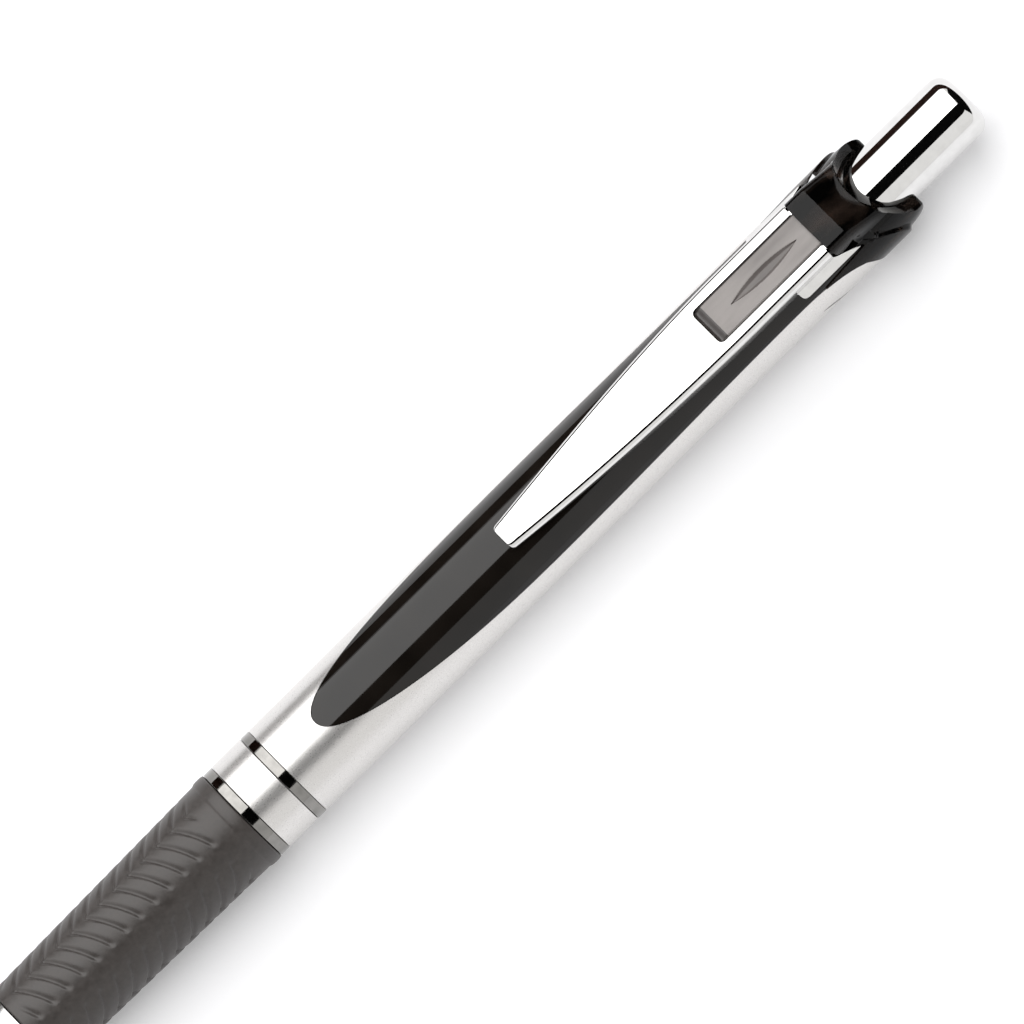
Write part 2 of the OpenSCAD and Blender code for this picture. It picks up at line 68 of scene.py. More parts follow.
AXIS_Z = (low("label_band").z + high("label_band").z) / 2
BARREL_R = (high("label_band").z - low("label_band").z) / 2
BEAD_R = AXIS_Z
X_NOSE = low("nose_cone").x
X_GRIP = high("nose_cone").x
X_RING_1 = low("lower_ring").x
X_BAND = low("label_band").x
X_RING_2 = low("upper_ring").x
X_SHELL = low("barrel_shell").x
X_SHELL_END = high("barrel_shell").x
X_CORE_END = high("barrel_core").x
X_CROWN = low("crown").x
X_CROWN_END = high("crown").x
X_CAP = low("button_cap").x
X_END = high("button_cap").x
X_CLIP = low("clip").x
CAP_R = (high("button_cap").z - low("button_cap").z) / 2
CROWN_TOP = high("crown").z - AXIS_Z
CLIP_TOP = high("clip").z - AXIS_Z
NOSE_R = (high("nose_cone").z - low("nose_cone").z) / 2
FRONT_R = (high("front_barrel").z - low("front_barrel").z) / 2
CORE_R = BARREL_R - 0.67 * MM
CORE_BORE_R = 3.85 * MM

# The teardrop opening: its point, its widest place and its waist, as on the CAD shell
X_DROP = X_SHELL + 5.2 * MM
X_DROP_WIDE = X_SHELL_END - 42.45 * MM
X_DROP_WAIST = X_SHELL_END - 11.05 * MM
X_FLARE = X_SHELL_END - 0.55 * MM
DROP_WIDE = BARREL_R * 0.88
DROP_WAIST = BARREL_R * 0.838
BACK_EDGE = 150.0

# The clip's window, which runs back to the crown
X_WINDOW = low("clip_insert").x + 0.3 * MM
WINDOW_HALF = 2.22 * MM


# ---------------------------------------------------------------- mesh helpers

def at(x, r, angle):
    """Point at a radius from the pen's axis; the angle runs from the clip side towards -Y."""
    a = math.radians(angle)
    return Vector((x, -r * math.sin(a), AXIS_Z + r * math.cos(a)))


def across(x, side, height):
    """Point at a distance across the pen, towards -Y, and a height over its axis."""
    return Vector((x, -side, AXIS_Z + height))


def smooth(t):
    t = min(max(t, 0.0), 1.0)
    return t * t * (3 - 2 * t)


def lerp(a, b, t):
    return a + (b - a) * t


def make(name, verts, faces, material, sharp=35):
    """Mesh object with outward normals, smooth but for its sharp edges."""
    mesh = bpy.data.meshes.new(name)
    mesh.from_pydata([tuple(v) for v in verts], [], faces)
    bm = bmesh.new()
    bm.from_mesh(mesh)
    bmesh.ops.remove_doubles(bm, verts=bm.verts, dist=2e-7)
    bmesh.ops.dissolve_degenerate(bm, edges=bm.edges, dist=1e-7)
    bmesh.ops.recalc_face_normals(bm, faces=bm.faces)
    for f in bm.faces:
        f.smooth = True
    for e in bm.edges:
        e.smooth = len(e.link_faces) != 2 or e.calc_face_angle(0) < math.radians(sharp)
    bm.to_mesh(mesh)
    bm.free()
    mesh.materials.append(material)
    obj = bpy.data.objects.new(name, mesh)
    bpy.context.scene.collection.objects.link(obj)
    return obj


def grid_faces(rows, cols, wrap_rows=False, wrap_cols=False):
    faces = []
    for i in range(rows if wrap_rows else rows - 1):
        for j in range(cols if wrap_cols else cols - 1):
            a, b = i * cols + j, i * cols + (j + 1) % cols
            c, d = ((i + 1) % rows) * cols + (j + 1) % cols, ((i + 1) % rows) * cols + j
            faces.append((a, b, c, d))
    return faces


def bevel(obj, width, segments=2, angle=35):
    mod = obj.modifiers.new("edge_round", "BEVEL")
    mod.width = width
    mod.segments = segments
    mod.limit_method = "ANGLE"
    mod.angle_limit = math.radians(angle)
    mod.harden_normals = False
    return obj


def rounded(corners, steps=5):
    """Closed profile of (x, r) points from (x, r, corner radius) ones, each corner an arc."""
    out = []
    count = len(corners)
    for i, (x, r, size) in enumerate(corners):
        if size <= 0:
            out.append((x, r))
            continue
        here = Vector((x, r))
        before = Vector(corners[i - 1][:2]) - here
        after = Vector(corners[(i + 1) % count][:2]) - here
        turn = before.angle(after)
        reach = min(size / math.tan(turn / 2), before.length * 0.49, after.length * 0.49)
        p, q = here + before.normalized() * reach, here + after.normalized() * reach
        for k in range(steps + 1):
            t = k / steps
            point = p * (1 - t) ** 2 + here * (2 * t * (1 - t)) + q * t ** 2
            out.append((point.x, point.y))
    return out


def revolve(name, profile, material, segments=160, sharp=35):
    """Solid turned from a closed profile of (x, r) points."""
    verts = [at(x, r, 360 * i / segments) for i in range(segments) for x, r in profile]
    faces = grid_faces(segments, len(profile), wrap_rows=True, wrap_cols=True)
    return make(name, verts, faces, material, sharp)


def skin(name, outer, inner, material, sharp=35, closed_rows=0):
    """Closed solid between two grids of points of the same size.

    The first closed_rows rows run all the way round, so their two ends meet with no wall.
    """
    rows, cols = len(outer), len(outer[0])
    verts = [p for row in outer for p in row] + [p for row in inner for p in row]
    shift = rows * cols
    faces = grid_faces(rows, cols)
    faces += [tuple(shift + i for i in reversed(f)) for f in grid_faces(rows, cols)]
    edges = [(j, j + 1) for j in range(cols - 1)]
    edges += [((rows - 1) * cols + j + 1, (rows - 1) * cols + j) for j in range(cols - 1)]
    for i in range(max(closed_rows - 1, 0), rows - 1):
        edges.append((i * cols + cols - 1, (i + 1) * cols + cols - 1))
        edges.append(((i + 1) * cols, i * cols))
    for a, b in edges:
        faces.append((b, a, a + shift, b + shift))
    return make(name, verts, faces, material, sharp)


def cut(obj, cutters):
    """Takes solids away from an object for good."""
    for cutter in cutters:
        mod = obj.modifiers.new("cut", "BOOLEAN")
        mod.operation = "DIFFERENCE"
        mod.solver = "EXACT"
        mod.object = cutter
    graph = bpy.context.evaluated_depsgraph_get()
    mesh = bpy.data.meshes.new_from_object(obj.evaluated_get(graph))
    obj.modifiers.clear()
    obj.data = mesh
    for cutter in cutters:
        bpy.data.objects.remove(cutter)
    bm = bmesh.new()
    bm.from_mesh(mesh)
    for f in bm.faces:
        f.smooth = True
    for e in bm.edges:
        e.smooth = len(e.link_faces) != 2 or e.calc_face_angle(0) < math.radians(30)
    bm.to_mesh(mesh)
    bm.free()
    return obj


def prism(outline, low_h, high_h, material):
    """Upright solid on an outline of (x, side) points, between two heights over the axis."""
    count = len(outline)
    verts = [across(x, s, h) for h in (low_h, high_h) for x, s in outline]
    faces = [tuple(reversed(range(count))), tuple(range(count, 2 * count))]
    faces += [(i, (i + 1) % count, (i + 1) % count + count, i + count) for i in range(count)]
    return make("cutter", verts, faces, material)


def round_rect(x0, x1, half, corner, steps=6):
    points = []
    for cx, cy, start in (
        (x1 - corner, half - corner, 0),
        (x0 + corner, half - corner, 90),
        (x0 + corner, -half + corner, 180),
        (x1 - corner, -half + corner, 270),
    ):
        for k in range(steps + 1):
            a = math.radians(start + 90 * k / steps)
            points.append((cx + corner * math.cos(a), cy + corner * math.sin(a)))
    return points


# ---------------------------------------------------------------- materials

def new_material(name):
    mat = bpy.data.materials.new(name)
    mat.use_nodes = True
    tree = mat.node_tree
    return mat, tree, tree.nodes["Principled BSDF"]


def noise(tree, scale, detail=3.0, stretch=(1, 1, 1)):
    """Noise over the object's own coordinates; scale is in features per metre."""
    coords = tree.nodes.new("ShaderNodeTexCoord")
    mapping = tree.nodes.new("ShaderNodeMapping")
    mapping.inputs["Scale"].default_value = stretch
    tex = tree.nodes.new("ShaderNodeTexNoise")
    tex.inputs["Scale"].default_value = scale
    tex.inputs["Detail"].default_value = detail
    tree.links.new(coords.outputs["Object"], mapping.inputs["Vector"])
    tree.links.new(mapping.outputs["Vector"], tex.inputs["Vector"])
    return tex.outputs["Fac"]


def span(tree, value, low_value, high_value, from_low=0.3, from_high=0.7):
    """Maps a noise value onto a range."""
    node = tree.nodes.new("ShaderNodeMapRange")
    node.inputs["From Min"].default_value = from_low
    node.inputs["From Max"].default_value = from_high
    node.inputs["To Min"].default_value = low_value
    node.inputs["To Max"].default_value = high_value
    tree.links.new(value, node.inputs["Value"])
    return node.outputs["Result"]


def tint(tree, value, dark, light, start=0.3, stop=0.7):
    """Colour between two tones as a noise value goes from low to high."""
    ramp = tree.nodes.new("ShaderNodeValToRGB")
    ramp.color_ramp.elements[0].position = start
    ramp.color_ramp.elements[1].position = stop
    ramp.color_ramp.elements[0].color = (*dark, 1)
    ramp.color_ramp.elements[1].color = (*light, 1)
    tree.links.new(value, ramp.inputs["Fac"])
    return ramp.outputs["Color"]


def bump(tree, shader, height, strength, distance):
    node = tree.nodes.new("ShaderNodeBump")
    node.inputs["Strength"].default_value = strength
    node.inputs["Distance"].default_value = distance
    tree.links.new(height, node.inputs["Height"])
    tree.links.new(node.outputs["Normal"], shader.inputs["Normal"])


def metal(name, dark, light, rough, scale, stretch=(1, 1, 1), grain=0.0):
    """Plated or drawn metal: fine tone and gloss changes, and an optional grain."""
    mat, tree, shader = new_material(name)
    value = noise(tree, scale, 4.0, stretch)
    tree.links.new(tint(tree, value, dark, light), shader.inputs["Base Color"])
    tree.links.new(span(tree, value, rough[0], rough[1]), shader.inputs["Roughness"])
    shader.inputs["Metallic"].default_value = 1.0
    if grain:
        bump(tree, shader, noise(tree, scale * 4, 2.0, stretch), grain, 0.00002)
    return mat


def plastic(name, dark, light, rough, scale, ior=1.5, coat=0.0, grain=0.0):
    """Moulded plastic, rubber or wet gel: mottled tone, uneven gloss and an optional grain."""
    mat, tree, shader = new_material(name)
    value = noise(tree, scale)
    tree.links.new(tint(tree, value, dark, light), shader.inputs["Base Color"])
    tree.links.new(span(tree, value, rough[0], rough[1]), shader.inputs["Roughness"])
    shader.inputs["IOR"].default_value = ior
    shader.inputs["Coat Weight"].default_value = coat
    shader.inputs["Coat Roughness"].default_value = 0.03
    if grain:
        bump(tree, shader, noise(tree, scale * 8, 2.0), grain, 0.00003)
    return mat


def smoke(name, dark, light, rough, clear, start=0.3, ior=1.46):
    """Smoky clear plastic with long flow streaks."""
    mat, tree, shader = new_material(name)
    value = noise(tree, 300, 3.0, (0.35, 1.6, 1.6))
    tree.links.new(tint(tree, value, dark, light, start, start + 0.35), shader.inputs["Base Color"])
    tree.links.new(span(tree, value, rough[0], rough[1]), shader.inputs["Roughness"])
    shader.inputs["Transmission Weight"].default_value = clear
    shader.inputs["IOR"].default_value = ior
    return mat


def satin_silver():
    """Silver lacquer: a mostly metallic satin shader with a fine mottled tone and a fine grain bump."""
    mat, tree, shader = new_material("satin_silver")
    value = noise(tree, 9000, 2.0)
    tree.links.new(
        tint(tree, value, (0.63, 0.615, 0.60), (0.74, 0.725, 0.71)), shader.inputs["Base Color"]
    )
    tree.links.new(span(tree, value, 0.27, 0.35), shader.inputs["Roughness"])
    shader.inputs["Metallic"].default_value = 0.85
    bump(tree, shader, value, 0.2, 0.00001)
    return mat


CHROME = metal("mirror_chrome", (0.67, 0.665, 0.655), (0.73, 0.725, 0.715), (0.025, 0.05), 900)
DARK_CHROME = metal("dark_chrome", (0.20, 0.195, 0.185), (0.27, 0.262, 0.25), (0.05, 0.09), 900)
SATIN_METAL = metal("satin_metal", (0.62, 0.62, 0.615), (0.72, 0.72, 0.71), (0.20, 0.28), 1200,
                    (0.3, 3, 3), 0.15)
STEEL = metal("spring_steel", (0.42, 0.42, 0.42), (0.58, 0.58, 0.57), (0.22, 0.34), 2500)
SILVER = satin_silver()
RUBBER = plastic("grip_rubber", (0.036, 0.0305, 0.0275), (0.052, 0.0445, 0.041), (0.36, 0.46), 1500,
                 1.5, 0.0, 0.25)
BLACK_GLOSS = plastic("black_gloss", (0.005, 0.004, 0.0032), (0.010, 0.0078, 0.0062), (0.05, 0.09),
                      200, 1.41)
BLACK_PLASTIC = plastic("black_plastic", (0.018, 0.018, 0.018), (0.03, 0.03, 0.03), (0.35, 0.5),
                        800, 1.5, 0.0, 0.1)
WHITE_PLASTIC = plastic("white_plastic", (0.68, 0.68, 0.66), (0.80, 0.80, 0.78), (0.3, 0.42), 700)
INK = plastic("black_ink", (0.004, 0.004, 0.006), (0.010, 0.010, 0.014), (0.05, 0.12), 600)
GREASE = plastic("clear_grease", (0.55, 0.50, 0.34), (0.70, 0.65, 0.48), (0.1, 0.2), 600)
TUBE = plastic("clear_tube", (0.62, 0.64, 0.65), (0.74, 0.76, 0.77), (0.2, 0.3), 500)
SMOKE = smoke("smoke_plastic", (0.003, 0.003, 0.003), (0.085, 0.058, 0.045), (0.03, 0.08), 0.8, 0.47,
              1.26)
SMOKE_GREY = smoke("smoke_insert", (0.20, 0.182, 0.172), (0.30, 0.275, 0.262), (0.16, 0.26), 0.12)
# Painted shade: a darker tone of the insert's smoky plastic, laid in its lens-shaped groove.
SMOKE_GROOVE_PAINTED_SHADE = smoke("smoke_groove_painted_shade", (0.10, 0.088, 0.084), (0.17, 0.15, 0.142), (0.16, 0.26), 0.12)
# Painted shade: a much darker tone of the insert's smoky plastic, laid on its bevelled front end and its
# side rims.
SMOKE_EDGE_PAINTED_SHADE = smoke("smoke_edge_painted_shade", (0.030, 0.026, 0.024), (0.075, 0.066, 0.062), (0.10, 0.20), 0.12)


# ---------------------------------------------------------------- teardrop outline

def drop_half(x):
    """Half-width of the shell's opening at a station, as on the CAD shell."""
    if x <= X_DROP:
        return 0.0
    if x < X_DROP_WIDE:
        u = (X_DROP_WIDE - x) / (X_DROP_WIDE - X_DROP)
        return DROP_WIDE * (1 - u ** 2.4) ** 0.45
    if x < X_DROP_WAIST:
        t = (x - X_DROP_WIDE) / (X_DROP_WAIST - X_DROP_WIDE)
        return DROP_WAIST + (DROP_WIDE - DROP_WAIST) * (1 + math.cos(math.pi * t)) / 2
    t = (x - X_DROP_WAIST) / (X_FLARE - X_DROP_WAIST)
    return DROP_WAIST + (BARREL_R + 0.2 * MM - DROP_WAIST) * t ** 2.6


def drop_edge():
    """(station, angle from the clip side) along the opening, from its point round to the back."""
    nose_steps, side_steps, back_steps = 34, 46, 16
    stations = [
        X_DROP + (X_DROP_WIDE - X_DROP) * (i / nose_steps) ** 2.2 for i in range(1, nose_steps)
    ]
    stations += [lerp(X_DROP_WIDE, X_FLARE, i / side_steps) for i in range(side_steps)]
    edge = [(X_DROP, 0.0)]
    for x in stations:
        share = drop_half(x) / BARREL_R
        if share < math.sin(math.radians(80)):
            edge.append((x, math.degrees(math.asin(share))))
    x_turn, turn = edge[-1]
    for k in range(1, back_steps + 1):
        angle = lerp(turn, BACK_EDGE, k / back_steps)
        left = 1 - (angle - turn) / (BACK_EDGE - turn)
        edge.append((lerp(x_turn, X_SHELL_END, 1 - left ** 2.6), angle))
    return edge


EDGE = drop_edge()


def edge_station(angle):
    """Station of the shell's rear edge at an angle on its flared stretch."""
    for (x0, a0), (x1, a1) in zip(EDGE, EDGE[1:]):
        if x0 > X_DROP_WAIST and a0 <= angle <= a1:
            return lerp(x0, x1, (angle - a0) / max(a1 - a0, 1e-6))
    return X_SHELL_END


# ---------------------------------------------------------------- pieces

def nose_cone():
    """Plated cone with a stepped tip and a groove before the grip."""
    steps = 26
    tip_r = 1.4 * MM
    length = X_GRIP - X_NOSE
    outer = [(X_NOSE, tip_r - 0.18 * MM), (X_NOSE + 0.04 * MM, tip_r - 0.06 * MM)]
    outer += [
        (X_NOSE + length * (0.01 + 0.985 * i / steps),
         tip_r + (NOSE_R - tip_r) * (i / steps) ** 0.8)
        for i in range(steps + 1)
    ]
    outer += [(X_GRIP, NOSE_R - 0.08 * MM)]
    bore_r = 1.25 * MM
    profile = outer + [
        (X_GRIP, 3.42 * MM), (X_NOSE + 9.05 * MM, 3.42 * MM), (X_NOSE + 9 * MM, 2.2 * MM),
        (X_NOSE + 5.5 * MM, 2.2 * MM), (X_NOSE + 5.45 * MM, 1.6 * MM),
        (X_NOSE + 3.05 * MM, 1.6 * MM), (X_NOSE + 3 * MM, bore_r), (X_NOSE + 0.1 * MM, bore_r),
    ]
    return revolve("nose_cone_skin", profile, SATIN_METAL)


def grip():
    """Rubber sleeve with a bead and rows of curved grooves that point to the button."""
    around, pitch, depth, groove = 300, 1.97 * MM, 0.19 * MM, 0.17 * MM
    step = 0.11 * MM
    bead, collar = 1.45 * MM, 1.25 * MM
    x_bead = X_RING_1 - bead - 0.05 * MM
    x_collar = x_bead - collar
    x0 = X_GRIP + 0.08 * MM
    front_r, rear_r = NOSE_R + 0.08 * MM, BARREL_R - 0.06 * MM
    rows = int((x_collar - x0) / step)
    verts = []

    def chevron(angle):
        """(how far a groove leans back at this angle, how deep it is there)."""
        away = abs((angle - 30 + 60) % 120 - 60)
        lean = 2.3 * MM * (away / 60) ** 1.6
        return lean, smooth((away - 9) / 9) * smooth((60 - away) / 4 + 0.55)

    def row(x, r, lines=0.0):
        for j in range(around):
            angle = 360 * j / around
            lean, share = chevron(angle)
            place = ((x - x_collar + lean) / pitch) % 1.0
            near = (place - 0.5) * pitch
            dip = math.exp(-(near / groove) ** 2) if near < 0 else math.exp(-(near / (groove * 2.2)) ** 2)
            verts.append(at(x, r - depth * dip * share * lines, angle))

    row(x0, FRONT_R + 0.02 * MM)
    row(x0, front_r - 0.16 * MM)
    row(x0 + 0.05 * MM, front_r - 0.05 * MM)
    for i in range(1, rows + 1):
        t = i / rows
        r = lerp(front_r, rear_r, t ** 0.9)
        ends = min(smooth((t - 0.02) / 0.04), smooth((1 - t) / 0.05))
        row(lerp(x0, x_collar, t), r, ends)
    row(x_bead - 0.12 * MM, rear_r + 0.01 * MM)
    for k in range(1, 12):
        a = math.pi * k / 12
        row(
            x_bead + bead * (1 - math.cos(a)) / 2,
            rear_r - 0.02 * MM + (BEAD_R - 0.01 * MM - rear_r) * math.sin(a) ** 0.7,
        )
    row(x_bead + bead, rear_r - 0.05 * MM)
    row(x_bead + bead, FRONT_R + 0.02 * MM)
    faces = grid_faces(len(verts) // around, around, wrap_rows=True, wrap_cols=True)
    return make("grip_sleeve", verts, faces, RUBBER, 60)


def ring(name, x0, x1, material, r, soft):
    inner = FRONT_R + 0.03 * MM
    profile = rounded([(x0, inner, 0), (x1, inner, 0), (x1, r, soft), (x0, r, soft)], 4)
    return revolve(name, profile, material, 200, 50)


def barrel_shell():
    """Silver shell with its teardrop opening and its flared rear end."""
    cols = 120
    inner_r = CORE_R + 0.06 * MM
    rows = [(X_SHELL + 0.02 * MM, 0.0)]
    rows += [(lerp(X_SHELL, X_DROP, k / 4), 0.0) for k in range(1, 4)]
    rows += EDGE

    def line(r):
        return [
            [at(x, r, a + (360 - 2 * a) * j / cols) for j in range(cols + 1)] for x, a in rows
        ]

    closed = sum(1 for _, a in rows if a == 0.0)
    obj = skin("barrel_shell_skin", line(BARREL_R), line(inner_r), SILVER, 40, closed)
    return bevel(obj, 0.07 * MM, 3, 50)


def barrel_core():
    """Black inner barrel and the glossy panel that fills the opening."""
    cols = 60
    gap = 0.05 * MM
    turn = math.degrees(gap / BARREL_R)
    rows = [(x + gap, max(a - turn, 0.02)) for x, a in EDGE if a < 82]
    top, base = BARREL_R - 0.05 * MM, CORE_R - 0.1 * MM

    def line(r):
        return [[at(x, r, -a + 2 * a * j / cols) for j in range(cols + 1)] for x, a in rows]

    panel = bevel(skin("black_panel", line(top), line(base), BLACK_GLOSS, 40), 0.05 * MM, 2, 50)
    profile = rounded([
        (X_SHELL + gap, CORE_BORE_R, 0), (X_CORE_END, CORE_BORE_R, 0),
        (X_CORE_END, CORE_R, 0.1 * MM), (X_SHELL + gap, CORE_R, 0.1 * MM),
    ])
    tube = revolve("inner_barrel", profile, BLACK_GLOSS, 120)
    return panel, tube


def crown():
    """Smoky crown: a bridge over the clip's root, a deep notch and swept side lobes."""
    cols, steps, lip_steps = 288, 64, 5
    bore_r = CAP_R + 0.12 * MM
    notch_r = 4.62 * MM
    x_notch = X_SHELL_END + 1.08 * MM
    bridge_half = 3.62 * MM
    tab_end = X_CROWN + 2.95 * MM
    inner_r = BARREL_R + 0.03 * MM
    seat_r = CORE_R + 0.05 * MM
    x_seat = X_CORE_END + 0.06 * MM

    def low_edge(angle):
        """Front edge: over the clip, back past its tabs, then along the shell's edge."""
        a = abs(angle)
        if a < 33:
            return X_CROWN + 0.25 * MM * (a / 33) ** 4
        if a < 52:
            return lerp(X_CROWN + 0.25 * MM, tab_end, smooth((a - 33) / 19))
        along_shell = edge_station(min(max(a, 58.5), BACK_EDGE)) + 0.06 * MM
        return lerp(tab_end, along_shell, smooth((a - 52) / 6.5))

    def high_edge(angle):
        a = abs(angle)
        if a >= 92:
            return X_CROWN_END
        side = 4.6 * MM * math.sin(math.radians(min(a, 90)))
        notch = x_notch + notch_r - math.sqrt(notch_r ** 2 - side ** 2)
        return min(lerp(notch, X_CROWN_END, smooth((a - 76) / 16)), X_CROWN_END)

    def crease(angle):
        """Station of the ridge that sweeps from the bridge's corner to the rear shoulder."""
        return X_CROWN + lerp(2.2, 7.2, smooth((abs(angle) - 30) / 62)) * MM

    def outer_r(x, angle):
        a = abs(angle)
        shoulder = X_CROWN_END - 3.0 * MM
        r = BEAD_R - 0.03 * MM
        step = smooth((x - crease(angle)) / (0.55 * MM)) * smooth((a - 24) / 14)
        r -= 0.34 * MM * step * smooth((150 - a) / 40)
        if x > shoulder:
            t = (x - shoulder) / (X_CROWN_END - shoulder)
            r -= (r - 4.42 * MM) * (1 - math.sqrt(max(1 - t * t, 0.0)))
        if a < 46:
            run = max(x - (X_SHELL_END - 1.9 * MM), 0.0)
            top = CROWN_TOP - 0.05 * MM - 0.42 * run - 18.0 * run * run
            roof = top / math.cos(math.radians(a))
            wall = bridge_half / max(math.sin(math.radians(a)), 1e-3)
            bridge = (roof ** -9 + wall ** -9) ** (-1 / 9)
            r = (r ** 14 + bridge ** 14) ** (1 / 14)
        return min(r, math.hypot(CROWN_TOP - 0.03 * MM, bridge_half))

    angles = [-180 + 360 * j / cols for j in range(cols)]
    verts = []
    for i in range(steps + 1):
        for a in angles:
            x = lerp(low_edge(a), high_edge(a), i / steps)
            verts.append(at(x, outer_r(x, a), a))
    for i in range(1, lip_steps + 1):
        for a in angles:
            x = high_edge(a)
            verts.append(at(x, lerp(outer_r(x, a), bore_r, i / lip_steps), a))
    for share in (0.5, 0.0):
        for a in angles:
            verts.append(at(lerp(x_seat, max(high_edge(a), x_seat + 0.3 * MM), share), bore_r, a))
    for a in angles:
        verts.append(at(x_seat, seat_r, a))
    for r in (seat_r, inner_r):
        for a in angles:
            verts.append(at(max(X_SHELL_END + 0.03 * MM, low_edge(a) + 0.02 * MM), r, a))
    for a in angles:
        verts.append(at(low_edge(a), inner_r, a))
    faces = grid_faces(len(verts) // cols, cols, wrap_rows=True, wrap_cols=True)
    body = make("crown_skin", verts, faces, SMOKE, 50)
    pocket = prism(
        [(X_CROWN - 1 * MM, -2.9 * MM), (X_CROWN + 3.0 * MM, -2.9 * MM),
         (X_CROWN + 3.0 * MM, 2.9 * MM), (X_CROWN - 1 * MM, 2.9 * MM)],
        BARREL_R - 0.2 * MM, BARREL_R + 0.93 * MM, SMOKE,
    )
    return bevel(cut(body, [pocket]), 0.06 * MM, 2, 50)


def clip_half(x):
    """Half-width of the clip at a station."""
    length = X_CROWN - 0.15 * MM - X_CLIP
    t = (x - X_CLIP) / length
    grow = 1 - (1 - min(max(t, 0.0) / 0.76, 1.0)) ** 1.7
    half = lerp(1.5 * MM, 3.52 * MM, grow)
    nose = 0.45 * MM
    if x < X_CLIP + nose:
        half -= 0.32 * MM * (1 - math.sqrt(1 - (1 - (x - X_CLIP) / nose) ** 2))
    return half


def clip_height(x):
    """Height of the clip's top over the axis."""
    return lerp(CLIP_TOP - 0.35 * MM, CLIP_TOP, smooth((x - X_CLIP) / (28 * MM)))


def clip():
    """Chrome channel clip with rolled edges and a window; its side tabs and root tongue are made by
    clip_tab and clip_tongue.
    """
    sheet = 0.40 * MM
    under = BARREL_R + 0.2 * MM
    x_end = X_CROWN - 0.12 * MM
    x_list = [X_CLIP + 0.45 * MM * (i / 8) ** 1.4 for i in range(9)]
    x_list += [lerp(X_CLIP + 0.5 * MM, x_end, i / 70) for i in range(71)]
    arc, flat = 7, 10
    verts = []
    for x in x_list:
        solid = x < X_CLIP + 0.44 * MM or x > x_end - 0.3 * MM
        half, top = clip_half(x), clip_height(x)
        bend = min(0.72 * MM, half * 0.45)
        lean = 0.3 * MM * (1 - smooth((x - X_CLIP) / (36 * MM)))
        foot = math.sqrt(under ** 2 - half ** 2)
        foot = min(foot, top - bend - 0.02 * MM)
        section = [(half, foot)]
        for k in range(arc + 1):
            a = math.radians(90 * k / arc)
            section.append((half - bend + bend * math.cos(a), top - bend + bend * math.sin(a)))
        section += [(lerp(half - bend, 0, k / flat), top) for k in range(1, flat)]
        outer = section + [(0.0, top)] + [(-y, h) for y, h in reversed(section)]
        within = []
        inner_bend = max(bend - sheet, 0.04 * MM)
        if solid:
            foot_in = math.sqrt(under ** 2 - (half - sheet) ** 2)
            within = [(half - sheet, foot_in)]
            for k in range(arc + 1):
                y = lerp(half - sheet, half - bend, k / arc)
                within.append((y, math.sqrt(under ** 2 - y ** 2)))
            for k in range(1, flat):
                y = lerp(half - bend, 0, k / flat)
                within.append((y, math.sqrt(under ** 2 - y ** 2)))
            centre = under
        else:
            foot_in = min(math.sqrt(under ** 2 - (half - sheet) ** 2), top - bend - 0.01 * MM)
            within = [(half - sheet, foot_in)]
            for k in range(arc + 1):
                a = math.radians(90 * k / arc)
                within.append((
                    half - sheet - inner_bend + inner_bend * math.cos(a),
                    top - sheet - inner_bend + inner_bend * math.sin(a),
                ))
            within += [
                (lerp(half - sheet - inner_bend, 0, k / flat), top - sheet)
                for k in range(1, flat)
            ]
            centre = top - sheet
        inner = within + [(0.0, centre)] + [(-y, h) for y, h in reversed(within)]
        verts += [across(x, y + lean, h) for y, h in outer + list(reversed(inner))]
    count = len(verts) // len(x_list)
    faces = grid_faces(len(x_list), count, wrap_cols=True)
    half_count = count // 2
    for base in (0, (len(x_list) - 1) * count):
        for j in range(half_count - 1):
            faces.append((base + j, base + j + 1, base + count - 2 - j, base + count - 1 - j))
    body = make("clip_channel", verts, faces, CHROME, 40)
    outline = round_rect(X_WINDOW, X_CROWN + 2 * MM, WINDOW_HALF, 0.62 * MM)
    hole = prism(outline, 0, 9 * MM, CHROME)
    return bevel(cut(body, [hole]), 0.06 * MM, 2, 50)


def clip_tab(side):
    """Rounded tab that wraps from the clip's root down the barrel."""
    r0, r1 = BARREL_R + 0.2 * MM, BARREL_R + 0.55 * MM
    x0, x1 = X_CROWN - 5 * MM, X_CROWN - 0.12 * MM
    a0, a1 = 31.0, 47.0
    rows, cols = 40, 14
    corner = 0.7 * MM

    def spot(i, j, r):
        t, u = i / rows, j / cols
        wide = a1
        rear = x1 + 2.85 * MM * smooth((lerp(a0, a1, u) - 33.5) / 15)
        start = x0 + corner * (1 - math.sqrt(max(1 - u ** 6, 0.0)))
        start += 0.55 * MM * smooth((0.45 - u) / 0.45) * -1
        return at(lerp(start, rear, t), r, side * lerp(a0, wide, u))

    outer = [[spot(i, j, r1) for j in range(cols + 1)] for i in range(rows + 1)]
    inner = [[spot(i, j, r0) for j in range(cols + 1)] for i in range(rows + 1)]
    name = "clip_tab_near" if side > 0 else "clip_tab_far"
    return bevel(skin(name, outer, inner, CHROME, 40), 0.12 * MM, 3, 50)


def clip_tongue():
    """Flat tongue that holds the clip in the crown."""
    top = BARREL_R + 0.72 * MM
    outline = round_rect(X_CROWN - 0.4 * MM, X_CROWN + 2.75 * MM, 2.7 * MM, 0.4 * MM)
    obj = prism(outline, top - 0.4 * MM, top, CHROME)
    obj.name = obj.data.name = "clip_tongue"
    return bevel(obj, 0.05 * MM)


